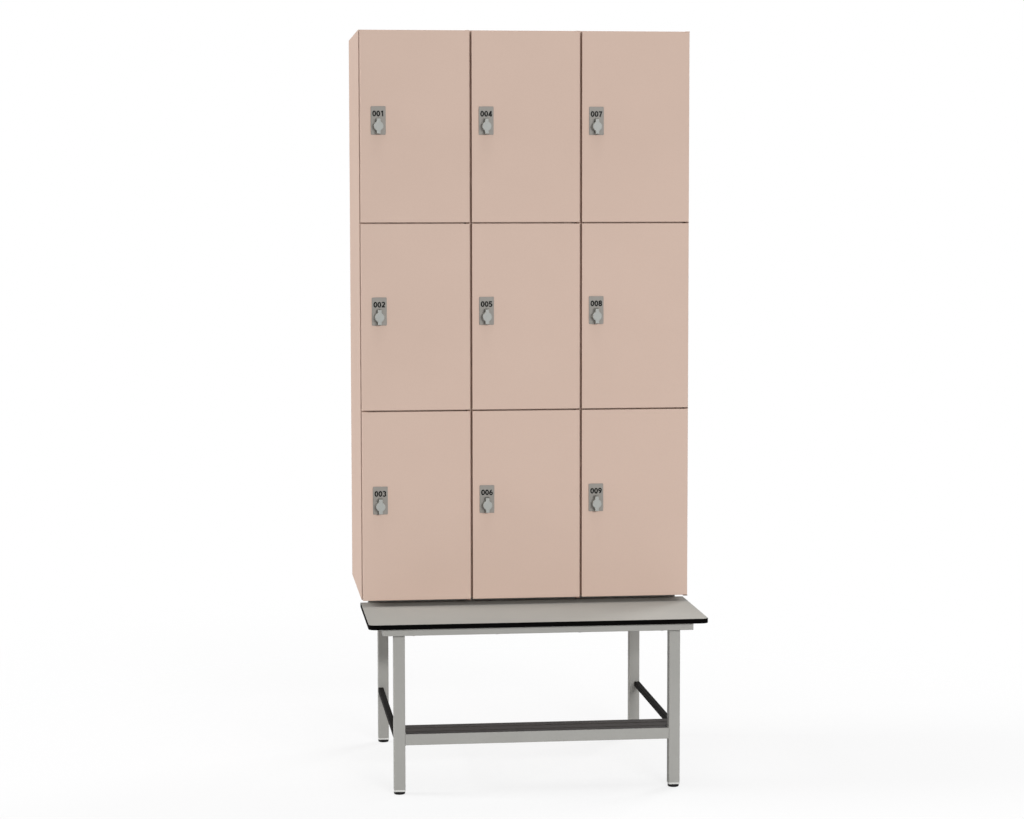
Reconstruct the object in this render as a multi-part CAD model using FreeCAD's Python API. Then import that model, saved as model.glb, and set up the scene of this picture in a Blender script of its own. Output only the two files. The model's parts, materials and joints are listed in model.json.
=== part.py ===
"""Nine-door locker block on a steel bench frame with a compact-laminate seat.

The locker block is one board carcass of three columns and three rows. Each overlay door
turns on hidden pivot pins at its right edge and carries a turn-knob cam lock at its left.
Millimetres. +Z is up, the doors face -Y, and the origin is the bottom centre of the whole.
"""
import FreeCAD, Part
import math
import os
from FreeCAD import Vector

# Locker block
locker_width = 900.0
locker_height = 1541.0
locker_depth = 500.0
column_count = 3
row_count = 3
panel_thickness = 19.0
back_thickness = 8.0
panel_edge_round = 1.0

# Doors
door_thickness = 18.0
door_setback = 2.0
door_side_gap = 6.0
door_row_gap = 4.0
door_side_reveal = 3.0
door_top_reveal = 3.0
door_edge_round = 1.5

# Door pivots
pivot_inset = 6.0
pivot_from_front = 6.0
pivot_pin_diameter = 5.0
pivot_pin_reach = 10.0
pivot_hole_spare = 2.0
pivot_clearance = 0.05
bracket_thickness = 2.0
bracket_nose_radius = 4.5
bracket_arm_start = 0.5
bracket_arm_end = 7.0
bracket_arm_height = 20.0
bracket_door_gap = 0.5

# Locks
lock_backset = 32.5
lock_height_share = 0.533
lock_plate_width = 40.0
lock_plate_height = 76.0
lock_plate_thickness = 3.0
lock_plate_corner = 2.5
lock_plate_edge_round = 1.0
lock_barrel_diameter = 20.0
lock_barrel_past_door = 6.0
lock_barrel_seat_gap = 0.1
knob_below_plate_centre = 15.5
knob_height = 43.0
knob_width = 26.5
knob_tip_width = 10.5
knob_shoulder_radius = 5.0
knob_front_share = 0.93
knob_standing = 20.0
knob_edge_round = 1.5
knob_collar_diameter = 28.0
knob_collar_thickness = 2.0
knob_plate_gap = 0.3
spindle_diameter = 8.0
spindle_clearance = 0.05
cam_thickness = 2.5
cam_width = 14.0
cam_tip_width = 9.0
cam_reach = 27.0
cam_barrel_gap = 0.3
cam_striker_gap = 0.5
striker_thickness = 2.0
striker_standing = 12.0
striker_depth = 26.0
striker_height = 36.0
striker_corner = 4.0

# Seat
seat_height = 462.0
seat_width = 900.0
seat_depth = 383.0
seat_reach = 300.0
seat_thickness = 13.0
seat_corner_radius = 18.0
seat_edge_round = 1.5
seat_back_gap = 2.0

# Bench frame
tube_size = 30.0
seat_rail_height = 20.0
tube_wall = 2.0
tube_round = 2.5
tube_bore_round = 1.0
frame_width = 824.0
frame_from_seat_front = 20.0
frame_from_locker_back = 36.0
support_rail_inset = 22.0
cap_thickness = 3.0
cap_plug_length = 14.0
cap_plug_gap = 0.2
cap_edge_round = 1.0

# Shoe rest
lower_rail_top = 162.0
stretcher_size = 15.0
stretcher_wall = 1.5
stretcher_round = 1.5
stretcher_bore_round = 0.5
slat_count = 2
slat_width = 42.0
slat_thickness = 12.0
slat_wall = 1.5
slat_round = 3.0
slat_bore_round = 1.0
slat_gap = 3.0

# Feet
glide_diameter = 30.0
glide_height = 8.0
glide_round = 2.5
glide_top_round = 1.0
collar_height = 5.0
collar_plug_length = 20.0
collar_edge_round = 0.8
stud_diameter = 8.0
stud_reach = 16.0
stud_clearance = 0.05

# One overrun past a face serves every cut, and one tolerance finds the edges in a plane.
overrun = 5.0
plane_tolerance = 0.001

# Levels and depths that follow from the sizes above
front_y = -(seat_reach + locker_depth) / 2
door_front_y = front_y + seat_reach
door_back_y = door_front_y + door_thickness
carcass_front_y = door_back_y + door_setback
back_y = door_front_y + locker_depth
back_panel_y = back_y - back_thickness
frame_top_z = seat_height - seat_thickness
base_z = frame_top_z + tube_size
top_z = base_z + locker_height
half_width = locker_width / 2
inner_half = half_width - panel_thickness
column_pitch = locker_width / column_count
room_height = (locker_height - (row_count + 1) * panel_thickness) / row_count
row_pitch = room_height + panel_thickness
frame_front_y = front_y + frame_from_seat_front
frame_back_y = back_y - frame_from_locker_back
leg_front_y = frame_front_y + tube_size
rear_leg_y = frame_back_y - tube_size - tube_size
leg_outer_x = frame_width / 2 - tube_size
leg_inner_x = leg_outer_x - tube_size
leg_top_z = frame_top_z
seat_rail_z = frame_top_z - seat_rail_height
support_rail_length = locker_width - support_rail_inset - support_rail_inset
leg_bottom_z = glide_height + collar_height
pin_radius = pivot_pin_diameter / 2
pivot_y = door_front_y + pivot_from_front

AXIS_X = Vector(1, 0, 0)
AXIS_Y = Vector(0, 1, 0)
AXIS_Z = Vector(0, 0, 1)


def block(low, high):
    """Box between two corners."""
    size = [b - a for a, b in zip(low, high)]
    return Part.makeBox(*size, Vector(*low))


def edges_along(shape, axis):
    """Straight edges of a shape that run along an axis."""
    found = []
    for edge in shape.Edges:
        run = edge.Vertexes[-1].Point.sub(edge.Vertexes[0].Point)
        if run.Length and run.cross(axis).Length < run.Length / 2:
            found.append(edge)
    return found


def edges_at(shape, axis, place):
    """Edges of a shape that lie wholly in the plane across an axis at a place."""
    found = []
    for edge in shape.Edges:
        points = [edge.valueAt(edge.FirstParameter), edge.valueAt(edge.LastParameter), edge.CenterOfMass]
        if all(abs(point.dot(axis) - place) < plane_tolerance for point in points):
            found.append(edge)
    return found


def tube(low, high, axis, wall, outer_round, bore_round):
    """Box-section tube, rounded along its length and open at both ends."""
    outer = block(low, high)
    outer = outer.makeFillet(outer_round, edges_along(outer, axis))
    along = [axis.x, axis.y, axis.z]
    bore_low = [a - overrun if way else a + wall for a, way in zip(low, along)]
    bore_high = [b + overrun if way else b - wall for b, way in zip(high, along)]
    bore = block(bore_low, bore_high)
    bore = bore.makeFillet(bore_round, edges_along(bore, axis))
    return outer.cut(bore)


def frame_tube(low, high, axis):
    """Tube of the bench frame's section."""
    return tube(low, high, axis, tube_wall, tube_round, tube_bore_round)


def mirrored(shape):
    """The same piece on the other side of the middle plane."""
    return shape.mirror(Vector(0, 0, 0), AXIS_X)


def save(name, shapes):
    """Write a node of one solid or of several alike."""
    solids = [solid for shape in shapes for solid in shape.Solids]
    whole = solids[0] if len(solids) == 1 else Part.makeCompound(solids)
    whole.exportStep(os.path.join("parts", name + ".step"))


def column_left(column):
    """Outer left of a column: the block's side, or the middle of a partition."""
    return -half_width + column * column_pitch


def room_left(column):
    """Inner left face of a column's compartments."""
    return column_left(column) + (panel_thickness if column == 0 else panel_thickness / 2)


def room_right(column):
    """Inner right face of a column's compartments."""
    last = column == column_count - 1
    return column_left(column + 1) - (panel_thickness if last else panel_thickness / 2)


def room_floor(row):
    """Floor of a row's compartments, counted from the bottom."""
    return base_z + panel_thickness + row * row_pitch


def gap_z(level):
    """Middle of the gap below a row: the middle of the shelf behind it."""
    return room_floor(level) - panel_thickness / 2


def door_span(column):
    """Left and right edges of a column's doors."""
    left_gap = door_side_reveal if column == 0 else door_side_gap / 2
    right_gap = door_side_reveal if column == column_count - 1 else door_side_gap / 2
    return column_left(column) + left_gap, column_left(column + 1) - right_gap


def door_rise(row):
    """Bottom and top edges of a row's doors."""
    bottom = base_z if row == 0 else gap_z(row) + door_row_gap / 2
    top = top_z - door_top_reveal if row == row_count - 1 else gap_z(row + 1) - door_row_gap / 2
    return bottom, top


def pivot_x(column):
    """Hinge axis of a column's doors."""
    return door_span(column)[1] - pivot_inset


def lock_x(column):
    """Middle of a column's lock plates."""
    return room_left(column) + lock_backset


def lock_z(row):
    """Middle of a row's lock plates."""
    bottom, top = door_rise(row)
    return bottom + (top - bottom) * lock_height_share


def knob_z(row):
    """Axis of a row's turn knobs."""
    return lock_z(row) - knob_below_plate_centre


def bracket_levels():
    """Each bracket's tongue height, its arm's rise and fall, and its pin's rise and fall."""
    half = bracket_thickness / 2
    lowest = door_rise(0)[0] - bracket_door_gap - half
    highest = door_rise(row_count - 1)[1] + bracket_door_gap + half
    levels = [(lowest, True, False)]
    levels += [(gap_z(level), True, True) for level in range(1, row_count)]
    levels += [(highest, False, True)]
    return levels


def bracket_arm(column, z, rises, falls):
    """Upright arm of a pivot bracket, which is let into the board's front edge."""
    x = pivot_x(column)
    half = bracket_thickness / 2
    low_z = z - half - (bracket_arm_height if falls else 0)
    high_z = z + half + (bracket_arm_height if rises else 0)
    low = (x + bracket_arm_start, carcass_front_y, low_z)
    return block(low, (x + bracket_arm_end, carcass_front_y + bracket_thickness, high_z))


def pivot_bracket(column, z, rises, falls):
    """Bracket with a round-nosed tongue that carries the pivot pin in the gap."""
    x = pivot_x(column)
    half = bracket_thickness / 2
    nose = Part.makeCylinder(bracket_nose_radius, bracket_thickness, Vector(x, pivot_y, z - half))
    low = (x - bracket_nose_radius, pivot_y, z - half)
    tongue = block(low, (x + bracket_arm_end, carcass_front_y, z + half))
    corner_low = (x, pivot_y - bracket_nose_radius, z - half)
    corner = block(corner_low, (x + bracket_arm_end, pivot_y, z + half))
    corner = corner.makeFillet(bracket_nose_radius / 2, [e for e in edges_along(corner, AXIS_Z)
                               if e.CenterOfMass.x > x and e.CenterOfMass.y < pivot_y])
    bracket = nose.fuse([tongue, corner, bracket_arm(column, z, rises, falls)]).removeSplitter()
    hole = Part.makeCylinder(pin_radius, bracket_thickness, Vector(x, pivot_y, z - half))
    return bracket.cut(hole)


def pivot_pin(column, z, rises, falls):
    """Pin through the tongue, into the door above, the door below or both."""
    half = bracket_thickness / 2
    start = z - half - (pivot_pin_reach if falls else 0)
    end = z + half + (pivot_pin_reach if rises else 0)
    return Part.makeCylinder(pin_radius, end - start, Vector(pivot_x(column), pivot_y, start))


def board(low, high, recesses):
    """Carcass board with its front edges eased and the brackets' recesses cut."""
    plain = block(low, high)
    eased = plain.makeFillet(panel_edge_round, edges_at(plain, AXIS_Y, low[1]))
    return eased.cut(recesses)


def carcass():
    """Sides, partitions, top, bottom, shelves and back of the locker block."""
    front = carcass_front_y
    places = [(c, level) for c in range(column_count) for level in bracket_levels()]
    recesses = [bracket_arm(c, *level) for c, level in places]
    left = board((-half_width, front, base_z), (-inner_half, back_y, top_z), recesses)
    right = board((inner_half, front, base_z), (half_width, back_y, top_z), recesses)
    bottom_top = base_z + panel_thickness
    top_bottom = top_z - panel_thickness
    bottom = board((-inner_half, front, base_z), (inner_half, back_panel_y, bottom_top), recesses)
    top = board((-inner_half, front, top_bottom), (inner_half, back_panel_y, top_z), recesses)
    partitions = []
    for column in range(1, column_count):
        x = column_left(column)
        low = (x - panel_thickness / 2, front, bottom_top)
        high = (x + panel_thickness / 2, back_panel_y, top_bottom)
        partitions.append(board(low, high, recesses))
    shelves = []
    for column in range(column_count):
        for level in range(1, row_count):
            low = (room_left(column), front, gap_z(level) - panel_thickness / 2)
            high = (room_right(column), back_panel_y, gap_z(level) + panel_thickness / 2)
            shelves.append(board(low, high, recesses))
    save("left_side_panel", [left])
    save("right_side_panel", [right])
    save("bottom_panel", [bottom])
    save("top_panel", [top])
    save("partition_panels", partitions)
    save("shelf_panels", shelves)
    save("back_panel", [block((-inner_half, back_panel_y, base_z), (inner_half, back_y, top_z))])


def pivots():
    """Pivot brackets and their pins at the right edge of every column."""
    places = [(c, level) for c in range(column_count) for level in bracket_levels()]
    save("hinge_brackets", [pivot_bracket(c, *level) for c, level in places])
    save("hinge_pins", [pivot_pin(c, *level) for c, level in places])


def door(column, row):
    """Door with an eased front, a pin hole in its top and bottom edges and a lock hole."""
    left, right = door_span(column)
    bottom, top = door_rise(row)
    plain = block((left, door_front_y, bottom), (right, door_back_y, top))
    eased = plain.makeFillet(door_edge_round, edges_at(plain, AXIS_Y, door_front_y))
    depth = pivot_pin_reach + pivot_hole_spare
    radius = pin_radius + pivot_clearance
    holes = []
    for start in (bottom, top - depth):
        holes.append(Part.makeCylinder(radius, depth, Vector(pivot_x(column), pivot_y, start)))
    lock_start = Vector(lock_x(column), door_front_y, knob_z(row))
    lock_radius = lock_barrel_diameter / 2 + lock_barrel_seat_gap
    holes.append(Part.makeCylinder(lock_radius, door_thickness, lock_start, AXIS_Y))
    return eased.cut(holes)


def lock_plate(column, row):
    """Number plate with the barrel that guides the knob's spindle through the door."""
    x = lock_x(column)
    z = lock_z(row)
    front = door_front_y - lock_plate_thickness
    low = (x - lock_plate_width / 2, front, z - lock_plate_height / 2)
    plate = block(low, (x + lock_plate_width / 2, door_front_y, z + lock_plate_height / 2))
    plate = plate.makeFillet(lock_plate_corner, edges_along(plate, AXIS_Y))
    plate = plate.makeFillet(lock_plate_edge_round, edges_at(plate, AXIS_Y, front))
    length = door_thickness + lock_barrel_past_door
    start = Vector(x, door_front_y, knob_z(row))
    barrel = Part.makeCylinder(lock_barrel_diameter / 2, length, start, AXIS_Y)
    bore_start = Vector(x, front, knob_z(row))
    bore_radius = spindle_diameter / 2 + spindle_clearance
    bore = Part.makeCylinder(bore_radius, lock_plate_thickness + length, bore_start, AXIS_Y)
    return plate.fuse(barrel).cut(bore)


def knob_outline(x, y, z, share):
    """Front outline of a turn knob: a round body, a flat-ended bar across it and hollow shoulders."""
    half_tip = share * knob_tip_width / 2
    half_rise = share * knob_height / 2
    radius = share * knob_width / 2
    hollow = share * knob_shoulder_radius
    out = half_tip + hollow
    rise = math.sqrt((radius + hollow) ** 2 - out ** 2)
    centre = Vector(out, 0, rise)
    neck = Vector(half_tip, 0, rise)
    meet = centre * (radius / (radius + hollow))
    inward = (neck + meet) / 2 - centre
    bend = centre + inward * (hollow / inward.Length)
    tip = Vector(half_tip, 0, half_rise)

    def at(point, side, way):
        """A point of the upper right quarter, carried to any quarter."""
        return Vector(x + side * point.x, y, z + way * point.z)

    edges = []
    for way in (1, -1):
        edges.append(Part.LineSegment(at(tip, -1, way), at(tip, 1, way)).toShape())
    for side in (1, -1):
        belly = Vector(x + side * radius, y, z)
        edges.append(Part.Arc(at(meet, side, 1), belly, at(meet, side, -1)).toShape())
        for way in (1, -1):
            edges.append(Part.LineSegment(at(tip, side, way), at(neck, side, way)).toShape())
            edges.append(Part.Arc(at(neck, side, way), at(bend, side, way), at(meet, side, way)).toShape())
    return Part.Wire(Part.sortEdges(edges)[0])


def turn_knob(column, row):
    """Turn knob: a grip that narrows to the front, a round collar and a spindle."""
    x = lock_x(column)
    z = knob_z(row)
    collar_back = door_front_y - lock_plate_thickness - knob_plate_gap
    grip_back = collar_back - knob_collar_thickness
    grip_front = collar_back - knob_standing
    outlines = [knob_outline(x, grip_back, z, 1), knob_outline(x, grip_front, z, knob_front_share)]
    grip = Part.makeLoft(outlines, True, True)
    grip = grip.makeFillet(knob_edge_round, edges_at(grip, AXIS_Y, grip_front))
    collar_start = Vector(x, grip_back, z)
    collar = Part.makeCylinder(knob_collar_diameter / 2, knob_collar_thickness, collar_start, AXIS_Y)
    length = cam_back_y() - collar_back
    spindle = Part.makeCylinder(spindle_diameter / 2, length, Vector(x, collar_back, z), AXIS_Y)
    return grip.fuse([collar, spindle]).removeSplitter()


def cam_front_y():
    """Front face of the cams, just behind the lock barrels."""
    return door_back_y + lock_barrel_past_door + cam_barrel_gap


def cam_back_y():
    """Back face of the cams, flush with the ends of the spindles."""
    return cam_front_y() + cam_thickness


def lock_cam(column, row):
    """Cam lever on the spindle, hanging down while the lock is open."""
    x = lock_x(column)
    y = cam_front_y()
    z = knob_z(row)
    hub = cam_width / 2
    tip = cam_tip_width / 2
    tip_z = z - cam_reach + tip
    edges = [
        Part.Arc(Vector(x - hub, y, z), Vector(x, y, z + hub), Vector(x + hub, y, z)).toShape(),
        Part.LineSegment(Vector(x + hub, y, z), Vector(x + tip, y, tip_z)).toShape(),
        Part.Arc(Vector(x + tip, y, tip_z), Vector(x, y, tip_z - tip), Vector(x - tip, y, tip_z)).toShape(),
        Part.LineSegment(Vector(x - tip, y, tip_z), Vector(x - hub, y, z)).toShape(),
    ]
    lever = Part.Face(Part.Wire(edges)).extrude(AXIS_Y * cam_thickness)
    hole = Part.makeCylinder(spindle_diameter / 2, cam_thickness, Vector(x, y, z), AXIS_Y)
    return lever.cut(hole)


def lock_striker(column, row):
    """Angle on the board at the lock side, behind which the cam turns."""
    x = room_left(column)
    z = knob_z(row)
    lip_back = cam_front_y() - cam_striker_gap
    lip_front = lip_back - striker_thickness
    low_z = z - striker_height / 2
    high_z = z + striker_height / 2
    lip = block((x, lip_front, low_z), (x + striker_standing, lip_back, high_z))
    rounded = [edge for edge in edges_along(lip, AXIS_Y) if edge.CenterOfMass.x > x + striker_thickness]
    lip = lip.makeFillet(striker_corner, rounded)
    flange = block((x, lip_back, low_z), (x + striker_thickness, lip_front + striker_depth, high_z))
    rounded = [edge for edge in edges_along(flange, AXIS_X) if edge.CenterOfMass.y > lip_back]
    flange = flange.makeFillet(striker_corner, rounded)
    return lip.fuse(flange).removeSplitter()


def doors_and_locks():
    """Doors numbered down each column from the top left, each with its lock."""
    strikers = []
    for column in range(column_count):
        for place in range(row_count):
            row = row_count - 1 - place
            number = str(column * row_count + place + 1)
            save("door_" + number, [door(column, row)])
            save("lock_plate_" + number, [lock_plate(column, row)])
            save("turn_knob_" + number, [turn_knob(column, row)])
            save("lock_cam_" + number, [lock_cam(column, row)])
            strikers.append(lock_striker(column, row))
    save("lock_strikers", strikers)


def seat():
    """Compact-laminate seat board with round front corners and eased edges."""
    low = (-seat_width / 2, front_y, frame_top_z)
    slab = block(low, (seat_width / 2, front_y + seat_depth, seat_height))
    corners = [edge for edge in edges_along(slab, AXIS_Z) if edge.CenterOfMass.y < front_y + seat_depth / 2]
    slab = slab.makeFillet(seat_corner_radius, corners)
    rims = edges_at(slab, AXIS_Z, frame_top_z) + edges_at(slab, AXIS_Z, seat_height)
    save("seat_board", [slab.makeFillet(seat_edge_round, rims)])


def end_cap(x, y, low_z, high_z):
    """Cap in the right-hand end of a frame tube whose front face is at y."""
    low = (x - cap_thickness, y, low_z)
    head = block(low, (x, y + tube_size, high_z))
    head = head.makeFillet(tube_round, edges_along(head, AXIS_X))
    head = head.makeFillet(cap_edge_round, edges_at(head, AXIS_X, x))
    inset = tube_wall + cap_plug_gap
    plug_low = (x - cap_thickness - cap_plug_length, y + inset, low_z + inset)
    plug = block(plug_low, (x - cap_thickness, y + tube_size - inset, high_z - inset))
    plug = plug.makeFillet(tube_bore_round, edges_along(plug, AXIS_X))
    return head.fuse(plug)


def cross_rail(length, y, low_z, high_z):
    """Frame tube across the unit, shorter by its two end caps, and those caps."""
    half = length / 2
    low = (-half + cap_thickness, y, low_z)
    rail = frame_tube(low, (half - cap_thickness, y + tube_size, high_z), AXIS_X)
    cap = end_cap(half, y, low_z, high_z)
    return rail, [cap, mirrored(cap)]


def leg(y):
    """Right-hand leg with its front face at y."""
    low = (leg_inner_x, y, leg_bottom_z)
    return frame_tube(low, (leg_outer_x, y + tube_size, leg_top_z), AXIS_Z)


def foot_collar(y):
    """Plastic insert of the right-hand leg: a flange under the tube and a plug inside it."""
    low = (leg_inner_x, y, glide_height)
    flange = block(low, (leg_outer_x, y + tube_size, leg_bottom_z))
    flange = flange.makeFillet(tube_round, edges_along(flange, AXIS_Z))
    flange = flange.makeFillet(collar_edge_round, edges_at(flange, AXIS_Z, glide_height))
    inset = tube_wall + cap_plug_gap
    plug_low = (leg_inner_x + inset, y + inset, leg_bottom_z)
    plug_high = (leg_outer_x - inset, y + tube_size - inset, leg_bottom_z + collar_plug_length)
    plug = block(plug_low, plug_high)
    plug = plug.makeFillet(tube_bore_round, edges_along(plug, AXIS_Z))
    centre = Vector(leg_inner_x + tube_size / 2, y + tube_size / 2, glide_height)
    depth = collar_height + collar_plug_length
    hole = Part.makeCylinder(stud_diameter / 2 + stud_clearance, depth, centre)
    return flange.fuse(plug).cut(hole)


def foot_glide(y):
    """Round glide under the right-hand leg, with the stud that screws into the insert."""
    centre = Vector(leg_inner_x + tube_size / 2, y + tube_size / 2, 0)
    pad = Part.makeCylinder(glide_diameter / 2, glide_height, centre)
    pad = pad.makeFillet(glide_round, edges_at(pad, AXIS_Z, 0))
    pad = pad.makeFillet(glide_top_round, edges_at(pad, AXIS_Z, glide_height))
    stud = Part.makeCylinder(stud_diameter / 2, stud_reach, centre + AXIS_Z * glide_height)
    return pad.fuse(stud)


def pair(shape):
    """A right-hand piece and its mirror image."""
    return [shape, mirrored(shape)]


def bench_frame():
    """Ring of seat rails, legs in its corners, feet, and the rails that carry the locker block."""
    rear_rail_y = frame_back_y - tube_size
    front_rail, front_caps = cross_rail(frame_width, frame_front_y, seat_rail_z, frame_top_z)
    rear_rail, rear_caps = cross_rail(frame_width, rear_rail_y, seat_rail_z, frame_top_z)
    front_support_y = front_y + seat_depth + seat_back_gap
    front_support, front_support_caps = cross_rail(support_rail_length, front_support_y, frame_top_z, base_z)
    rear_support, rear_support_caps = cross_rail(support_rail_length, rear_rail_y, frame_top_z, base_z)
    low = (leg_outer_x, frame_front_y + tube_size, seat_rail_z)
    side_rail = frame_tube(low, (frame_width / 2, rear_rail_y, frame_top_z), AXIS_Y)
    save("front_seat_rail", [front_rail])
    save("rear_seat_rail", [rear_rail])
    save("side_seat_rails", pair(side_rail))
    save("locker_support_rails", [front_support, rear_support])
    save("tube_end_caps", front_caps + rear_caps + front_support_caps + rear_support_caps)
    save("front_legs", pair(leg(leg_front_y)))
    save("rear_legs", pair(leg(rear_leg_y)))
    save("foot_collars", pair(foot_collar(leg_front_y)) + pair(foot_collar(rear_leg_y)))
    save("foot_glides", pair(foot_glide(leg_front_y)) + pair(foot_glide(rear_leg_y)))


def shoe_rest():
    """Lower front rail, the two side stretchers and the slats between them."""
    low_z = lower_rail_top - tube_size
    low = (-leg_inner_x, leg_front_y, low_z)
    rail = frame_tube(low, (leg_inner_x, leg_front_y + tube_size, lower_rail_top), AXIS_X)
    save("lower_front_rail", [rail])
    stretcher_inner_x = leg_outer_x - stretcher_size
    low = (stretcher_inner_x, leg_front_y + tube_size, lower_rail_top - stretcher_size)
    high = (leg_outer_x, rear_leg_y, lower_rail_top)
    stretcher = tube(low, high, AXIS_Y, stretcher_wall, stretcher_round, stretcher_bore_round)
    save("lower_side_rails", pair(stretcher))
    slats = []
    for index in range(slat_count):
        y = leg_front_y + tube_size + slat_gap + index * (slat_width + slat_gap)
        low = (-stretcher_inner_x, y, lower_rail_top - slat_thickness)
        high = (stretcher_inner_x, y + slat_width, lower_rail_top)
        slats.append(tube(low, high, AXIS_X, slat_wall, slat_round, slat_bore_round))
    save("shoe_slats", slats)


os.makedirs("parts", exist_ok=True)
carcass()
pivots()
doors_and_locks()
seat()
bench_frame()
shoe_rest()
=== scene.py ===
"""Looks of a nine-door locker block on a steel bench frame with a compact-laminate seat.

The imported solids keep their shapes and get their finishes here. New pieces are the door numbers, the small
fasteners and the weld beads. Metres, +Z up, doors facing -Y.
"""
import bmesh
import bpy
import json
import math
import numpy as np
from mathutils import Matrix, Vector

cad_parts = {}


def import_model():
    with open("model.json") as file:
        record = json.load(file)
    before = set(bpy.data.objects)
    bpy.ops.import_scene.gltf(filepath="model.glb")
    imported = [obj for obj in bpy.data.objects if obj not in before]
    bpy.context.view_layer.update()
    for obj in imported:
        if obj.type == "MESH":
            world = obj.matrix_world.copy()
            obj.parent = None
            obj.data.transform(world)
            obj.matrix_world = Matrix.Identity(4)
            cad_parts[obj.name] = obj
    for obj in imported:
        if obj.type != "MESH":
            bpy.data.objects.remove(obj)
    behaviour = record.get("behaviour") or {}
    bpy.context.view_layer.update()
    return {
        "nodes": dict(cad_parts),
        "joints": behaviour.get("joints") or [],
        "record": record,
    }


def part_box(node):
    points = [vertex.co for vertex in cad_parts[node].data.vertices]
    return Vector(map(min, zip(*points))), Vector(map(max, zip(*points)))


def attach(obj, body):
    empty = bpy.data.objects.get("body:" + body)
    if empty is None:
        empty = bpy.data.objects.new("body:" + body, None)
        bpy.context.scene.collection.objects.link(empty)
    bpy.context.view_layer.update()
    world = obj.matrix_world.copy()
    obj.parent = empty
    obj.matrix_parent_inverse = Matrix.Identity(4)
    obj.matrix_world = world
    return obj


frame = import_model()

MM = 0.001
ROOT = "bench_and_carcass"
RIGHT = (1, 0, 0)
BACKWARD = (0, 1, 0)
FORWARD = (0, -1, 0)
DOWN = (0, 0, -1)
joint_places = {joint["name"]: joint["pos_m"] for joint in frame["joints"]}
locker_numbers = range(1, sum(name.startswith("lock_plate_") for name in frame["nodes"]) + 1)

# Photograph's view
image_width = 1024
focal_length_in_pixels = 2536.57
sensor_width = 36.0
camera_place = Vector((-0.83186, -6.92988, 1.56831))
camera_yaw = 0.115582
camera_pitch = -0.0828825
camera_roll = -0.001409
camera_reach = 100.0

# Light: each soft box has a place, a power in watts, a width and a height
ambient_strength = 0.28
light_target = (0.0, 0.0, 1.0)
soft_boxes = {
    "key_soft_box": ((-8.5, 0.6, 4.2), 550.0, 3.0, 3.0),
    "front_soft_box": ((2.0, -9.0, 2.9), 434.0, 3.0, 0.5),
    "low_soft_box": ((1.0, -9.0, 0.45), 105.0, 1.5, 0.4),
    "top_soft_box": ((0.0, -1.3, 7.5), 96.0, 3.0, 3.0),
    "back_soft_box": ((5.2, 4.8, 3.6), 300.0, 3.0, 3.0),
}

# Floor, which lies a hair below the glides
floor_glow_share = 0.78
floor_radius = 7.0
floor_fade_start = 0.8
floor_fade_end = 3.2
floor_drop = 0.4 * MM
floor_roughness = 0.9

# Numbers on the plates
digit_height = 15.2 * MM
digit_pitch = 10.8 * MM
digit_below_plate_top = 12.0 * MM
digit_standing = 0.3 * MM
digit_sunk = 0.1 * MM
stroke_lift = 0.02 * MM
stroke_steps = 40
digit_grid_width = 10
digit_grid_height = 16
stroke_grid_width = 3.7

# Small fasteners
turn_steps = 48
hexagon_sides = 6
merge_distance = 0.002 * MM
sharp_angle = math.radians(38)
button_radius = 3.5 * MM
button_height = 2.1 * MM
small_button_radius = 2.5 * MM
small_button_height = 1.0 * MM
seat_button_radius = 5.0 * MM
seat_button_height = 2.8 * MM
cam_screw_radius = 4.6 * MM
cam_washer_radius = 6.6 * MM
cam_screw_height = 4.2 * MM
nut_radius = 15.0 * MM
nut_bore_radius = 10.0 * MM
nut_thickness = 4.5 * MM

# Places of the fasteners on the CAD pieces
lock_backset = 32.5 * MM
striker_thickness = 2.0 * MM
striker_screw_setback = 8.0 * MM
striker_screw_spread = 10.0 * MM
bracket_thickness = 2.0 * MM
bracket_screw_out = 3.75 * MM
bracket_screw_rise = 12.5 * MM
seat_screw_spread = 330.0 * MM
seat_screw_count = 4
seat_screw_shares = (0.35, 0.85)
back_screw_shares = (0.25, 0.75)
block_screw_spread = 300.0 * MM
block_screw_count = 3

# Weld beads
bead_radius = 2.0 * MM
bead_ripple_share = 0.14
bead_ripple_pitch = 2.6 * MM
bead_end_gap = 2.5 * MM
bead_length_steps = 60
bead_round_steps = 10
bead_end_power = 12

# Depth to which a coat of another tone runs over an edge
coat_edge = 0.2 * MM

# Sockets of a colour mix
MIX_LOW, MIX_HIGH, MIX_OUT = 6, 7, 2


def linear(code):
    """Linear colour of an sRGB hex value."""
    shares = [int(code[i:i + 2], 16) / 255 for i in (1, 3, 5)]
    return [s / 12.92 if s <= 0.04045 else ((s + 0.055) / 1.055) ** 2.4 for s in shares] + [1.0]


def per_metre(millimetres):
    """Pattern scale whose features are about this wide."""
    return 1 / (millimetres * MM)


def add(tree, kind, values=None, links=None, **settings):
    """Add one node, set its options and socket values, and link its inputs."""
    node = tree.nodes.new("ShaderNode" + kind)
    for name, value in settings.items():
        setattr(node, name, value)
    for socket, value in (values or {}).items():
        node.inputs[socket].default_value = value
    for socket, source in (links or {}).items():
        tree.links.new(source, node.inputs[socket])
    return node


def blank(name, **constants):
    """New material: its tree, its shader with constant sockets set, and its object coordinates."""
    material = bpy.data.materials.new(name)
    material.use_nodes = True
    tree = material.node_tree
    shader = tree.nodes["Principled BSDF"]
    for socket, value in constants.items():
        shader.inputs[socket.replace("_", " ")].default_value = value
    place = add(tree, "TexCoord").outputs["Object"]
    return material, tree, shader, place


def finish_shader(tree, shader, colour, roughness, height, depth):
    """Link a colour, a roughness and a bump of a real depth to a shader."""
    bump = add(tree, "Bump", {"Strength": 1.0, "Distance": depth}, {"Height": height})
    tree.links.new(colour, shader.inputs["Base Color"])
    tree.links.new(roughness, shader.inputs["Roughness"])
    tree.links.new(bump.outputs["Normal"], shader.inputs["Normal"])


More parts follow.
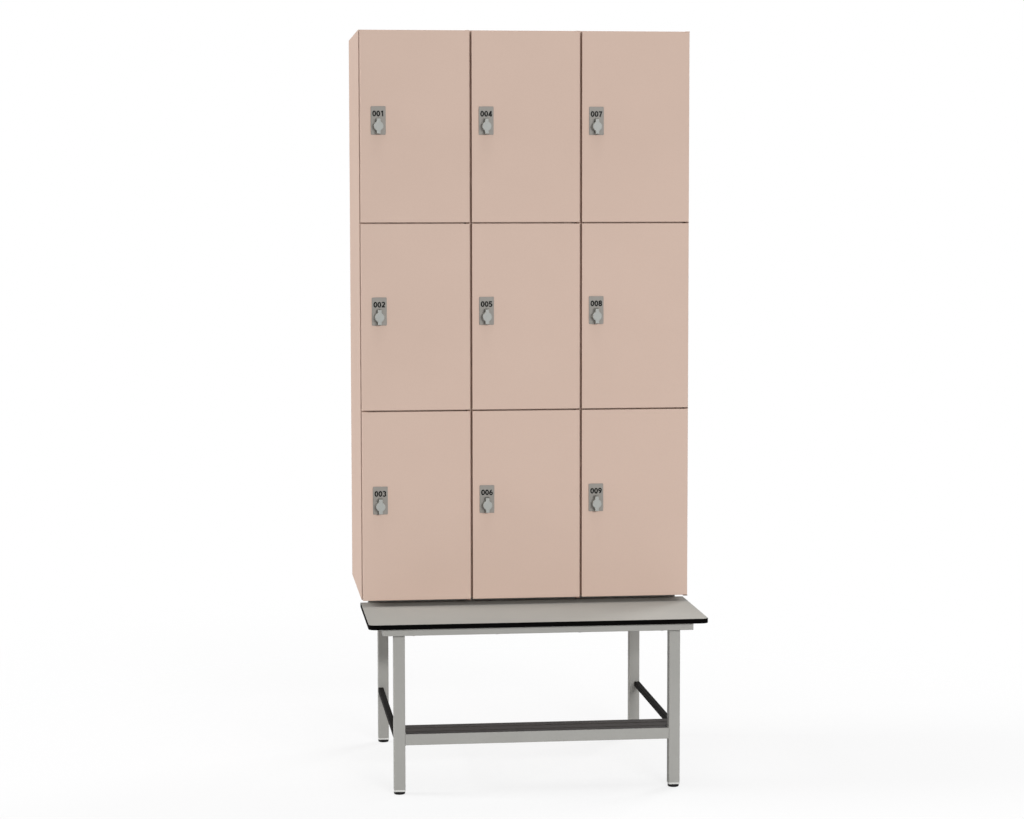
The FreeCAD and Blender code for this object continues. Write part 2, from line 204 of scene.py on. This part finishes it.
def melamine_board():
    """Melamine-faced board, pressed matt against a fine-grained plate: even colour, soft broad sheen."""
    material, tree, shader, place = blank("dusty_pink_melamine_board", IOR=1.5, Specular_IOR_Level=0.06)
    cloud = add(tree, "TexNoise", {"Scale": per_metre(240), "Detail": 2.0}, {"Vector": place})
    # The plate's grain is about 0.3 mm. It is drawn coarser, so that it shows up close.
    grain = add(tree, "TexNoise", {"Scale": per_metre(1.4), "Detail": 3.0}, {"Vector": place})
    broad = add(tree, "Mix", {MIX_LOW: linear("#CBB3A5"), MIX_HIGH: linear("#D0B8AA")},
                {0: cloud.outputs["Fac"]}, data_type="RGBA")
    speck = add(tree, "MapRange", {"From Min": 0.45, "From Max": 0.7, "To Max": 0.12},
                {"Value": grain.outputs["Fac"]})
    fine = add(tree, "Mix", {MIX_HIGH: linear("#B59C90")},
               {0: speck.outputs["Result"], MIX_LOW: broad.outputs[MIX_OUT]}, data_type="RGBA")
    rough = add(tree, "MapRange", {"To Min": 0.74, "To Max": 0.88}, {"Value": grain.outputs["Fac"]})
    finish_shader(tree, shader, fine.outputs[MIX_OUT], rough.outputs["Result"],
                  grain.outputs["Fac"], 0.06 * MM)
    return material


def compact_laminate():
    """Compact laminate of pressed paper: matt grey faces, and a black core that shows at the cut edge."""
    material, tree, shader, place = blank("grey_compact_laminate", IOR=1.5, Specular_IOR_Level=0.03)
    low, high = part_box("seat_board")
    decor_thickness = 0.12 * MM
    core_roughness = 0.95
    half_core = (high.z - low.z) / 2 - decor_thickness
    cloud = add(tree, "TexNoise", {"Scale": per_metre(150), "Detail": 2.0}, {"Vector": place})
    # The faces' grain is about 0.3 mm and a ply of the core 0.2 mm.
    # Both are drawn coarser, so that they show up close.
    grain = add(tree, "TexNoise", {"Scale": per_metre(1.1), "Detail": 3.0}, {"Vector": place})
    grey = add(tree, "Mix", {MIX_LOW: linear("#ACABA6"), MIX_HIGH: linear("#B3B2AD")},
               {0: cloud.outputs["Fac"]}, data_type="RGBA")
    parts = add(tree, "SeparateXYZ", links={0: place})
    ply = add(tree, "TexNoise", {"Scale": per_metre(0.5), "Detail": 1.0}, {"W": parts.outputs["Z"]},
              noise_dimensions="1D")
    core = add(tree, "Mix", {MIX_LOW: linear("#040404"), MIX_HIGH: linear("#080707")},
               {0: ply.outputs["Fac"]}, data_type="RGBA")
    in_core = add(tree, "Math", {1: (low.z + high.z) / 2, 2: half_core}, {0: parts.outputs["Z"]},
                  operation="COMPARE")
    both = add(tree, "Mix", None, {0: in_core.outputs[0], MIX_LOW: grey.outputs[MIX_OUT],
               MIX_HIGH: core.outputs[MIX_OUT]}, data_type="RGBA")
    face = add(tree, "MapRange", {"To Min": 0.74, "To Max": 0.88}, {"Value": grain.outputs["Fac"]})
    cut = add(tree, "Math", {1: core_roughness}, {0: in_core.outputs[0]}, operation="MULTIPLY")
    rough = add(tree, "Math", None, {0: face.outputs["Result"], 1: cut.outputs[0]}, operation="MAXIMUM")
    finish_shader(tree, shader, both.outputs[MIX_OUT], rough.outputs[0], grain.outputs["Fac"], 0.05 * MM)
    return material


def powder_coat(name, deep, pale, gloss, smooth, rough, painted_tone=None, painted_tone_above=0.0):
    """Polyester powder coat baked on steel: satin, with the faint orange peel of melted powder.

    A second tone, where there is one, covers what lies above a height. It is painted light and shade, not a
    coat of the real part.
    """
    material, tree, shader, place = blank(name, IOR=1.5, Specular_IOR_Level=gloss)
    peel = add(tree, "TexNoise", {"Scale": per_metre(1.8), "Detail": 2.0}, {"Vector": place})
    cloud = add(tree, "TexNoise", {"Scale": per_metre(60), "Detail": 3.0}, {"Vector": place})
    tone = add(tree, "Mix", {MIX_LOW: linear(deep), MIX_HIGH: linear(pale)}, {0: cloud.outputs["Fac"]},
               data_type="RGBA")
    # The second tone is painted light and shade, laid over the coat above a height.
    if painted_tone:
        parts = add(tree, "SeparateXYZ", links={0: place})
        above = add(tree, "Math", {1: painted_tone_above}, {0: parts.outputs["Z"]}, operation="GREATER_THAN")
        tone = add(tree, "Mix", {MIX_HIGH: linear(painted_tone)},
                   {0: above.outputs[0], MIX_LOW: tone.outputs[MIX_OUT]}, data_type="RGBA")
    sheen = add(tree, "MapRange", {"To Min": smooth, "To Max": rough}, {"Value": peel.outputs["Fac"]})
    finish_shader(tree, shader, tone.outputs[MIX_OUT], sheen.outputs["Result"],
                  peel.outputs["Fac"], 0.08 * MM)
    return material


def moulded(name, deep, pale, gloss, smooth, rough):
    """Injection-moulded plastic with the fine even texture of a spark-eroded mould."""
    material, tree, shader, place = blank(name, IOR=1.49, Specular_IOR_Level=gloss)
    # The mould's pits are about 0.1 mm. They are drawn coarser, so that they show up close.
    spark = add(tree, "TexVoronoi", {"Scale": per_metre(0.6)}, {"Vector": place})
    cloud = add(tree, "TexNoise", {"Scale": per_metre(25), "Detail": 2.0}, {"Vector": place})
    tone = add(tree, "Mix", {MIX_LOW: linear(deep), MIX_HIGH: linear(pale)}, {0: cloud.outputs["Fac"]},
               data_type="RGBA")
    sheen = add(tree, "MapRange", {"To Min": smooth, "To Max": rough},
                {"Value": spark.outputs["Distance"]})
    finish_shader(tree, shader, tone.outputs[MIX_OUT], sheen.outputs["Result"],
                  spark.outputs["Distance"], 0.03 * MM)
    return material


def knob_plastic():
    """Moulded turn knob: along its axis a satin light-grey cap, a darker skirt whose tone is painted shade
    on the knob's sides, and a mid-grey collar.
    """
    material, tree, shader, place = blank("light_grey_knob_with_painted_shade", IOR=1.49, Specular_IOR_Level=0.3)
    cap_depth = 2.0 * MM
    collar_depth = 2.4 * MM
    cap_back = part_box("turn_knob_1")[0].y + cap_depth
    collar_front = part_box("lock_plate_1")[0].y - collar_depth
    parts = add(tree, "SeparateXYZ", links={0: place})
    skirt = add(tree, "Math", {1: cap_back}, {0: parts.outputs["Y"]}, operation="GREATER_THAN")
    collar = add(tree, "Math", {1: collar_front}, {0: parts.outputs["Y"]}, operation="GREATER_THAN")
    # The mould's pits are about 0.1 mm. They are drawn coarser, so that they show up close.
    spark = add(tree, "TexVoronoi", {"Scale": per_metre(0.6)}, {"Vector": place})
    cloud = add(tree, "TexNoise", {"Scale": per_metre(15), "Detail": 2.0}, {"Vector": place})
    cap = add(tree, "Mix", {MIX_LOW: linear("#9B9D99"), MIX_HIGH: linear("#A3A5A1")},
              {0: cloud.outputs["Fac"]}, data_type="RGBA")
    # The skirt's darker tone is painted shade on the knob's sides.
    tone = add(tree, "Mix", {MIX_HIGH: linear("#74756F")},
               {0: skirt.outputs[0], MIX_LOW: cap.outputs[MIX_OUT]}, data_type="RGBA")
    tone = add(tree, "Mix", {MIX_HIGH: linear("#8E8C86")},
               {0: collar.outputs[0], MIX_LOW: tone.outputs[MIX_OUT]}, data_type="RGBA")
    sheen = add(tree, "MapRange", {"To Min": 0.4, "To Max": 0.52}, {"Value": spark.outputs["Distance"]})
    finish_shader(tree, shader, tone.outputs[MIX_OUT], sheen.outputs["Result"],
                  spark.outputs["Distance"], 0.02 * MM)
    return material


def zinc_plate():
    """Zinc-plated mild steel: metallic, drawn along one way, with a faint bluish patchiness."""
    material, tree, shader, place = blank("zinc_plated_steel", Metallic=1.0)
    # The rolling lines are under 0.1 mm apart. They are drawn coarser, so that they show up close.
    stretch = add(tree, "Mapping", {"Scale": (1.0, 1.0, 0.08)}, {"Vector": place})
    drawn = add(tree, "TexNoise", {"Scale": per_metre(0.5), "Detail": 2.0}, {"Vector": stretch.outputs[0]})
    patch = add(tree, "TexNoise", {"Scale": per_metre(9), "Detail": 2.0}, {"Vector": place})
    tone = add(tree, "Mix", {MIX_LOW: linear("#B4B6BA"), MIX_HIGH: linear("#CDCCC6")},
               {0: patch.outputs["Fac"]}, data_type="RGBA")
    rough = add(tree, "MapRange", {"To Min": 0.26, "To Max": 0.42}, {"Value": drawn.outputs["Fac"]})
    finish_shader(tree, shader, tone.outputs[MIX_OUT], rough.outputs["Result"],
                  drawn.outputs["Fac"], 0.01 * MM)
    return material


def printed_ink():
    """Screen-printed black ink: thin, matt, a little uneven in cover."""
    material, tree, shader, place = blank("black_printed_ink", IOR=1.48, Specular_IOR_Level=0.1)
    # The printing screen's mesh is about 0.1 mm.
    # Its uneven cover is drawn coarser, so that it shows up close.
    cover = add(tree, "TexNoise", {"Scale": per_metre(0.8), "Detail": 3.0}, {"Vector": place})
    tone = add(tree, "Mix", {MIX_LOW: linear("#0E0F0E"), MIX_HIGH: linear("#181A18")},
               {0: cover.outputs["Fac"]}, data_type="RGBA")
    rough = add(tree, "MapRange", {"To Min": 0.45, "To Max": 0.65}, {"Value": cover.outputs["Fac"]})
    finish_shader(tree, shader, tone.outputs[MIX_OUT], rough.outputs["Result"],
                  cover.outputs["Fac"], 0.02 * MM)
    return material


def grid_faces(rows, columns):
    """Quads between neighbouring rows of a grid whose columns close on themselves."""
    index = np.arange(rows * columns).reshape(rows, columns)
    after = np.roll(index, -1, axis=1)
    quads = np.stack([index[:-1], after[:-1], after[1:], index[1:]], axis=-1)
    return quads.reshape(-1, 4)


def piece(name, points, faces, material, body):
    """Mesh piece that rides on a body, with doubles merged, faces outward and sharp edges kept."""
    mesh = bpy.data.meshes.new(name)
    mesh.from_pydata(points.tolist(), [], faces.tolist())
    shape = bmesh.new()
    shape.from_mesh(mesh)
    bmesh.ops.remove_doubles(shape, verts=shape.verts, dist=merge_distance)
    bmesh.ops.recalc_face_normals(shape, faces=shape.faces)
    shape.to_mesh(mesh)
    shape.free()
    mesh.shade_smooth()
    mesh.set_sharp_from_angle(angle=sharp_angle)
    mesh.materials.append(material)
    made = bpy.data.objects.new(name, mesh)
    bpy.context.scene.collection.objects.link(made)
    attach(made, body)
    return made


def turned(profile, centres, axis):
    """Turned shape repeated at each centre.

    A profile point of radius r, height h and hexness k goes to
    centre + h * axis + r * s * (cos t * side + sin t * other), with t running round the axis.
    The factor s is 1 where k is 0. Where k is 1 it is the distance from the middle to the edge
    of a unit hexagon at t.
    """
    radius, height, hexness = np.array(profile, float).T
    centres = np.array(centres, float).reshape(-1, 3)
    axis = np.array(axis, float)
    side = np.roll(axis, 1)
    other = np.cross(axis, side)
    turn = np.arange(turn_steps) * 2 * np.pi / turn_steps
    half_side = np.pi / hexagon_sides
    hexagon = np.cos(half_side) / np.cos(turn % (2 * half_side) - half_side)
    reach = radius[:, None] * (1 + hexness[:, None] * (hexagon - 1))
    ring = np.cos(turn)[:, None] * side + np.sin(turn)[:, None] * other
    shape = height[:, None, None] * axis + reach[..., None] * ring
    points = centres[:, None, None] + shape
    starts = np.arange(len(centres)) * len(radius) * turn_steps
    faces = grid_faces(len(radius), turn_steps) + starts[:, None, None]
    return points.reshape(-1, 3), faces.reshape(-1, 4)


def button_profile(radius, height):
    """Button head with a hexagon socket, from its hidden base over the dome to the socket's floor."""
    shares = [(0, -0.1, 0), (1, -0.1, 0), (1, 0.3, 0), (0.93, 0.62, 0), (0.76, 0.87, 0), (0.56, 1, 0),
              (0.46, 0.96, 1), (0.46, 0.3, 1), (0, 0.25, 0)]
    return [(r * radius, h * height, k) for r, h, k in shares]


def cam_screw_profile():
    """Hexagon head on a washer."""
    seat, top = 0.25 * cam_screw_height, cam_screw_height
    return [(0, -0.02 * top, 0), (cam_washer_radius, -0.02 * top, 0), (cam_washer_radius, 0.8 * seat, 0),
            (0.97 * cam_washer_radius, seat, 0), (cam_screw_radius, seat, 1),
            (cam_screw_radius, 0.88 * top, 1), (0.84 * cam_screw_radius, top, 0), (0, top, 0)]


def nut_profile():
    """Thin hexagon nut, a closed ring round the lock barrel."""
    rim = 0.9 * nut_thickness
    crown = 0.88 * nut_radius
    return [(nut_bore_radius, 0, 0), (nut_radius, 0, 1), (nut_radius, rim, 1), (crown, nut_thickness, 0),
            (1.06 * nut_bore_radius, nut_thickness, 0), (nut_bore_radius, rim, 0), (nut_bore_radius, 0, 0)]


def straight(start, end):
    """Straight centre line of a digit's stroke."""
    return np.linspace(start, end, stroke_steps)


def arc(middle, across, rise, start, end):
    """Elliptic centre line of a digit's stroke, between two angles in degrees."""
    turn = np.radians(np.linspace(start, end, stroke_steps))
    return np.array(middle) + np.stack([across * np.cos(turn), rise * np.sin(turn)], axis=1)


def digit_strokes():
    """Centre lines of every digit's strokes, on a grid ten wide and sixteen high."""
    six = [arc((5, 4.9), 3.5, 3.5, 0, 360), arc((8.4, 4.9), 6.9, 9.6, 180, 98)]
    hook = arc((4.9, 10.9), 3.5, 3.6, 160, -35)
    far_corner = np.array((digit_grid_width, digit_grid_height))
    return [
        [arc((5, 8), 3.6, 6.4, 0, 360)],
        [straight((5.8, 0), (5.8, 16)), straight((1.7, 12), (5.2, 14.5))],
        [np.concatenate([hook, straight(hook[-1], (1.9, 2.2))[1:]]), straight((0.4, 1.85), (9.4, 1.85))],
        [arc((4.6, 11.35), 3.3, 3.15, 155, -90), arc((4.6, 4.75), 3.7, 3.45, 90, -155)],
        [straight((7.2, 0), (7.2, 16)), straight((6.6, 15), (1.5, 4.6)),
         straight((-0.2, 3.7), (10.2, 3.7))],
        [straight((0.6, 14.15), (9, 14.15)), straight((2.45, 14.5), (2.1, 7.4)),
         arc((4.7, 5), 3.7, 3.6, 140, -155)],
        six,
        [straight((0.3, 14.15), (9.7, 14.15)), straight((7.75, 14.15), (3.2, 0))],
        [arc((5, 11.65), 3.1, 2.95, 0, 360), arc((5, 4.75), 3.5, 3.4, 0, 360)],
        [far_corner - stroke for stroke in six],
    ]


def ribbon(line, width, back, front):
    """Flat bar along a centre line in the plate's plane.

    At the share s along the line, the four corners of the bar's section are line(s) plus or minus
    half the width across the line, at the back and at the front depth. A line that ends where it
    starts is a ring with no ends.
    """
    closed = np.allclose(line[0], line[-1])
    run = np.concatenate([line[-2:-1], line, line[1:2]]) if closed else line
    along = np.gradient(run, axis=0, edge_order=2)
    along = along[1:-1] if closed else along
    along /= np.linalg.norm(along, axis=1)[:, None]
    across = np.stack([-along[:, 1], along[:, 0]], axis=1) * width / 2
    sides = np.stack([line + across, line + across, line - across, line - across], axis=1)
    depth = np.broadcast_to([back, front, front, back], sides.shape[:2])
    points = np.stack([sides[..., 0], depth, sides[..., 1]], axis=-1).reshape(-1, 3)
    faces = grid_faces(len(line), 4)
    ends = np.arange(4) + np.array([[0], [len(points) - 4]])
    return points, faces if closed else np.concatenate([faces, ends])


def number_piece(number, strokes, material):
    """Three digits on a lock plate, each stroke a hair higher than the one before it."""
    low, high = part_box("lock_plate_" + str(number))
    unit = digit_height / digit_grid_height
    corner = np.array([(low.x + high.x) / 2, high.z - digit_below_plate_top - digit_height])
    points, faces = np.empty((0, 3)), np.empty((0, 4), int)
    for place, digit in enumerate((0, 0, number)):
        shift = corner + ((place - 1) * digit_pitch - digit_grid_width * unit / 2, 0)
        for order, line in enumerate(strokes[digit]):
            front = low.y - digit_standing - order * stroke_lift
            bar, quads = ribbon(line * unit + shift, stroke_grid_width * unit, low.y + digit_sunk, front)
            faces = np.concatenate([faces, quads + len(points)])
            points = np.concatenate([points, bar])
    piece("number_" + str(number), points, faces, material, "door_" + str(number))


def weld_bead(starts, ends):
    """Rippled weld beads between pairs of points.

    Along the share s and round the angle t a bead's point is
    start + s * (end - start) + r * (cos t * side + sin t * other). The radius r is the bead's,
    times the root of 1 - |2 s - 1| to the end power, a flat arch that closes the ends,
    times one plus a ripple of the absolute sine of the length run.
    """
    starts, ends = np.array(starts, float), np.array(ends, float)
    run = ends - starts
    length = np.linalg.norm(run, axis=1)
    along = run / length[:, None]
    side = np.roll(along, 1, axis=1)
    other = np.cross(along, side)
    share = np.linspace(0, 1, bead_length_steps)
    turn = np.arange(bead_round_steps) * 2 * np.pi / bead_round_steps
    ends_closed = np.clip(1 - np.abs(2 * share - 1) ** bead_end_power, 0, 1) ** 0.5
    ripple = 1 + bead_ripple_share * np.abs(np.sin(np.pi * share * length[:, None] / bead_ripple_pitch))
    radius = bead_radius * ends_closed * ripple
    ring = np.cos(turn)[:, None] * side[:, None] + np.sin(turn)[:, None] * other[:, None]
    centre = starts[:, None] + share[:, None] * run[:, None]
    points = centre[:, :, None] + radius[..., None, None] * ring[:, None]
    offsets = np.arange(len(starts)) * bead_length_steps * bead_round_steps
    faces = grid_faces(bead_length_steps, bead_round_steps) + offsets[:, None, None]
    return points.reshape(-1, 3), faces.reshape(-1, 4)


def weld_lines():
    """Ends of every bead: inner corners where the bench tubes meet."""
    legs = {"front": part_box("front_legs"), "rear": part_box("rear_legs")}
    low_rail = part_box("lower_front_rail")
    seat_rail_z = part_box("front_seat_rail")[0].z
    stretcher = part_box("lower_side_rails")
    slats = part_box("shoe_slats")
    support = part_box("locker_support_rails")
    side_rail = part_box("side_seat_rails")
    inner = low_rail[1].x
    gap = bead_end_gap
    lines = []
    for side in (-1, 1):
        for low, high in legs.values():
            outer = side * high.x
            rail_face = low.y if low.y < 0 else high.y
            lines.append(((side * inner, rail_face, seat_rail_z), (outer, rail_face, seat_rail_z)))
            lines.append(((outer, low.y + gap, seat_rail_z), (outer, high.y - gap, seat_rail_z)))
            stretcher_face = high.y if low.y < 0 else low.y
            stretcher_inner = outer - side * (stretcher[1].z - stretcher[0].z)
            for z in (stretcher[0].z, stretcher[1].z):
                lines.append(((stretcher_inner, stretcher_face, z), (outer, stretcher_face, z)))
        low, high = legs["front"]
        for z in (low_rail[0].z, low_rail[1].z):
            lines.append(((side * inner, low.y + gap, z), (side * inner, high.y - gap, z)))
        x = side * slats[1].x
        lines.append(((x, slats[0].y + gap, slats[0].z), (x, slats[1].y - gap, slats[0].z)))
        rail_inner = side * (legs["front"][1].x + gap)
        rail_outer = side * (side_rail[1].x - gap)
        tube = support[1].z - support[0].z
        for y in (support[0].y, support[0].y + tube):
            lines.append(((rail_inner, y, support[0].z), (rail_outer, y, support[0].z)))
    return [line[0] for line in lines], [line[1] for line in lines]


def striker_screw_places():
    """Places of the strikers' screws: one below and one above the axis of each knob."""
    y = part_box("lock_strikers")[1].y - striker_screw_setback
    places = []
    for number in locker_numbers:
        x, _, z = joint_places["knob_" + str(number) + "_turn"]
        face = x - lock_backset + striker_thickness
        places += [(face, y, z - striker_screw_spread), (face, y, z + striker_screw_spread)]
    return places


def bracket_screw_places():
    """Places of the brackets' screws: one behind the lower and one behind the upper end of each door."""
    carcass_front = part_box("left_side_panel")[0].y
    places = []
    for number in locker_numbers:
        x = joint_places["door_" + str(number) + "_hinge"][0] + bracket_screw_out
        low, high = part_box("door_" + str(number))
        places += [(x, carcass_front, low.z + bracket_screw_rise - bracket_thickness),
                   (x, carcass_front, high.z - bracket_screw_rise + bracket_thickness)]
    return places


def seat_screw_places():
    """Places of the screws up into the seat, under its front rail and under its side rails."""
    low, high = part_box("front_seat_rail")
    xs = np.linspace(-seat_screw_spread, seat_screw_spread, seat_screw_count)
    places = [(x, (low.y + high.y) / 2, low.z) for x in xs]
    low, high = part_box("side_seat_rails")
    leg_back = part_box("front_legs")[1].y
    seat_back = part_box("seat_board")[1].y
    rail_width = high.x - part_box("front_legs")[1].x
    for share in seat_screw_shares:
        y = leg_back + share * (seat_back - leg_back)
        places += [(side * (high.x - rail_width / 2), y, low.z) for side in (-1, 1)]
    return places


def back_screw_places():
    """Places of the back panel's screws, two to each stretch of a level board or of a partition."""
    low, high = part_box("back_panel")
    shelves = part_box("shelf_panels")
    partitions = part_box("partition_panels")
    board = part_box("top_panel")
    middle = (board[1].z - board[0].z) / 2
    levels = (low.z + middle, shelves[0].z + middle, shelves[1].z - middle, high.z - middle)
    uprights = (partitions[0].x + middle, partitions[1].x - middle)
    edges = (low.x, *uprights, high.x)
    places = []
    for left, right in zip(edges, edges[1:]):
        xs = [left + share * (right - left) for share in back_screw_shares]
        places += [(x, high.y, z) for x in xs for z in levels]
    for bottom, top in zip(levels, levels[1:]):
        zs = [bottom + share * (top - bottom) for share in back_screw_shares]
        places += [(x, high.y, z) for x in uprights for z in zs]
    return places


def block_screw_places():
    """Places of the screws up into the locker block, under its front support and under the rear rail."""
    low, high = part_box("locker_support_rails")
    rear_low, rear_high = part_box("rear_seat_rail")
    rows = ((low.y + (high.z - low.z) / 2, low.z), ((rear_low.y + rear_high.y) / 2, rear_low.z))
    xs = np.linspace(-block_screw_spread, block_screw_spread, block_screw_count)
    return [(x, y, z) for x in xs for y, z in rows]


def turned_piece(name, profile, places, axis, steel, body):
    """Piece of plain steel with one turned shape at each place."""
    points, faces = turned(profile, places, axis)
    piece(name, points, faces, steel, body)


def fasteners(steel, coat):
    """Cam screws, barrel nuts, all other screws, and the weld beads of the frame."""
    door_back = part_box("door_1")[1].y
    cam_screw = cam_screw_profile()
    nut = nut_profile()
    for number in locker_numbers:
        label = str(number)
        x, _, z = joint_places["knob_" + label + "_turn"]
        cam_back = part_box("lock_cam_" + label)[1].y
        turned_piece("cam_screw_" + label, cam_screw, (x, cam_back, z), BACKWARD, steel, "knob_" + label)
        turned_piece("barrel_nut_" + label, nut, (x, door_back, z), BACKWARD, steel, "door_" + label)
    small_head = button_profile(small_button_radius, small_button_height)
    flat_head = button_profile(button_radius, small_button_height)
    high_head = button_profile(button_radius, button_height)
    large_head = button_profile(seat_button_radius, seat_button_height)
    screw_groups = [
        ("striker_screws", high_head, striker_screw_places(), RIGHT),
        ("bracket_screws", small_head, bracket_screw_places(), FORWARD),
        ("seat_screws", large_head, seat_screw_places(), DOWN),
        ("block_screws", large_head, block_screw_places(), DOWN),
        ("back_screws", flat_head, back_screw_places(), BACKWARD),
    ]
    for name, profile, places, axis in screw_groups:
        turned_piece(name, profile, places, axis, steel, ROOT)
    points, faces = weld_bead(*weld_lines())
    piece("frame_welds", points, faces, coat, ROOT)


def door_numbers(ink):
    """Plain running numbers on the lock plates."""
    strokes = digit_strokes()
    for number in locker_numbers:
        number_piece(number, strokes, ink)


def dress():
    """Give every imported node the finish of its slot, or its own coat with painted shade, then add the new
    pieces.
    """
    # Heights of painted tones: a lit board tone on the brackets above the door tops, painted shade on the
    # rail's top.
    door_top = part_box("door_1")[1].z - coat_edge
    rail_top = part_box("lower_front_rail")[1].z - coat_edge
    grey_coat = ("#999894", "#A09F9B", 0.12, 0.5, 0.62)
    finishes = {
        "pink_board": melamine_board(),
        "plain_steel": zinc_plate(),
        # Hinge brackets and pins: the brown is painted shade, the dark of the door gaps. Above the door tops
        # a lit board-pink tone is painted.
        "brown_steel": powder_coat("bracket_steel_painted_gap_shade_lit_top", "#785F53", "#80665A", 0.12, 0.5, 0.64,
                                   "#CDB5A7", door_top),
        "grey_steel_tube": powder_coat("grey_powder_coat", *grey_coat),
        # Shoe slats: a dark grey coat, partly a guessed finish and partly painted shade from under the seat.
        "dark_steel_tube": powder_coat("dark_grey_coat_and_painted_shade", "#3C3836", "#454140", 0.1, 0.58, 0.7),
        "grey_cap": moulded("grey_polyethylene_cap", "#989793", "#9F9E9A", 0.3, 0.38, 0.5),
        "compact_laminate": compact_laminate(),
        "pale_insert": moulded("pale_nylon_insert", "#C4C4C1", "#CBCBC8", 0.3, 0.4, 0.52),
        "black_glide": moulded("black_nylon_glide", "#0B0B0B", "#111111", 0.15, 0.42, 0.55),
        "lock_plate_grey": moulded("mid_grey_lock_plate", "#89857F", "#8F8B85", 0.25, 0.42, 0.54),
        "knob_grey": knob_plastic(),
    }
    painted_shade_coats = {
        # The side stretchers get a near-black coat, darker than the slats': painted shade under the seat.
        "lower_side_rails": powder_coat("near_black_painted_shade_coat", "#1E1D1C", "#222120", 0.02, 0.7, 0.82),
        # The lower front rail's top face gets a near-black tone: painted shade, where the seat shades it.
        "lower_front_rail": powder_coat("grey_powder_coat_painted_shade_on_top", *grey_coat, "#302C2B", rail_top),
    }
    for row in frame["record"]["subparts"]:
        node = frame["nodes"][row["node"]]
        node.data.materials.clear()
        node.data.materials.append(painted_shade_coats.get(row["node"], finishes[row["material_slot"]]))
    fasteners(finishes["plain_steel"], finishes["grey_steel_tube"])
    door_numbers(printed_ink())


def camera():
    """Camera at the photograph's fitted place, turned by its yaw, pitch and roll."""
    data = bpy.data.cameras.new("photograph_view")
    data.sensor_fit = "HORIZONTAL"
    data.sensor_width = sensor_width
    data.lens = focal_length_in_pixels * sensor_width / image_width
    data.clip_end = camera_reach
    level = math.cos(camera_pitch)
    forward = Vector((math.sin(camera_yaw) * level, math.cos(camera_yaw) * level, math.sin(camera_pitch)))
    right = Vector((math.cos(camera_yaw), -math.sin(camera_yaw), 0.0))
    up = right.cross(forward)
    rolled_right = right * math.cos(camera_roll) + up * math.sin(camera_roll)
    rolled_up = up * math.cos(camera_roll) - right * math.sin(camera_roll)
    made = bpy.data.objects.new("photograph_view", data)
    facing = Matrix((rolled_right, rolled_up, -forward)).transposed().to_4x4()
    made.matrix_world = Matrix.Translation(camera_place) @ facing
    bpy.context.scene.collection.objects.link(made)
    bpy.context.scene.camera = made


def lamp(name, place, power, width, height):
    """Soft box that faces the object."""
    data = bpy.data.lights.new(name, "AREA")
    data.shape = "RECTANGLE"
    data.energy = power
    data.size = width
    data.size_y = height
    made = bpy.data.objects.new(name, data)
    made.location = place
    made.rotation_euler = (Vector(light_target) - Vector(place)).to_track_quat("-Z", "Y").to_euler()
    bpy.context.scene.collection.objects.link(made)


def seen(tree):
    """One for rays that show the background: from the camera, off gloss or through glass. Else zero."""
    rays = add(tree, "LightPath").outputs
    links = {0: rays["Is Camera Ray"], 1: rays["Is Glossy Ray"]}
    either = add(tree, "Math", None, links, operation="MAXIMUM")
    links = {0: either.outputs[0], 1: rays["Is Transmission Ray"]}
    return add(tree, "Math", None, links, operation="MAXIMUM").outputs[0]


def world():
    """Even soft room light, seen as plain white."""
    room = bpy.data.worlds.new("white_studio")
    room.use_nodes = True
    bpy.context.scene.world = room
    tree = room.node_tree
    strength = add(tree, "MapRange", {"To Min": ambient_strength, "To Max": 1.0}, {"Value": seen(tree)})
    tree.links.new(strength.outputs["Result"], tree.nodes["Background"].inputs["Strength"])
    tree.nodes["Background"].inputs["Color"].default_value = (1.0, 1.0, 1.0, 1.0)


def floor():
    """Round pale floor that fades into the white around it."""
    turn = np.arange(turn_steps) * 2 * np.pi / turn_steps
    depth = np.full(turn_steps, -floor_drop)
    rim = np.stack([floor_radius * np.cos(turn), floor_radius * np.sin(turn), depth], axis=1)
    mesh = bpy.data.meshes.new("floor")
    mesh.from_pydata(rim.tolist(), [], [list(range(turn_steps))])
    material = bpy.data.materials.new("pale_floor_paint")
    material.use_nodes = True
    tree = material.node_tree
    shader = tree.nodes["Principled BSDF"]
    shader.inputs["Roughness"].default_value = floor_roughness
    shader.inputs["Specular IOR Level"].default_value = 0.0
    shown = seen(tree)
    tone = add(tree, "Mix", {MIX_LOW: linear("#DCDCDC"), MIX_HIGH: linear("#F2F2F3")}, {0: shown},
               data_type="RGBA")
    tree.links.new(tone.outputs[MIX_OUT], shader.inputs["Base Color"])
    share = add(tree, "Math", {1: floor_glow_share}, {0: shown}, operation="MULTIPLY")
    glow = add(tree, "Emission", {"Strength": 1.0})
    lit = add(tree, "MixShader", None, {0: share.outputs[0], 1: shader.outputs[0], 2: glow.outputs[0]})
    away = add(tree, "VectorMath", None, {0: add(tree, "TexCoord").outputs["Object"]}, operation="LENGTH")
    values = {"From Min": floor_fade_start, "From Max": floor_fade_end}
    fade = add(tree, "MapRange", values, {"Value": away.outputs["Value"]}, interpolation_type="SMOOTHSTEP")
    links = {0: fade.outputs["Result"], 1: lit.outputs[0], 2: add(tree, "BsdfTransparent").outputs[0]}
    mixed = add(tree, "MixShader", None, links)
    tree.links.new(mixed.outputs[0], tree.nodes["Material Output"].inputs["Surface"])
    mesh.materials.append(material)
    made = bpy.data.objects.new("floor", mesh)
    bpy.context.scene.collection.objects.link(made)


dress()
camera()
world()
floor()
for box_name, box_values in soft_boxes.items():
    lamp(box_name, *box_values)
bpy.context.scene.view_settings.view_transform = "Standard"
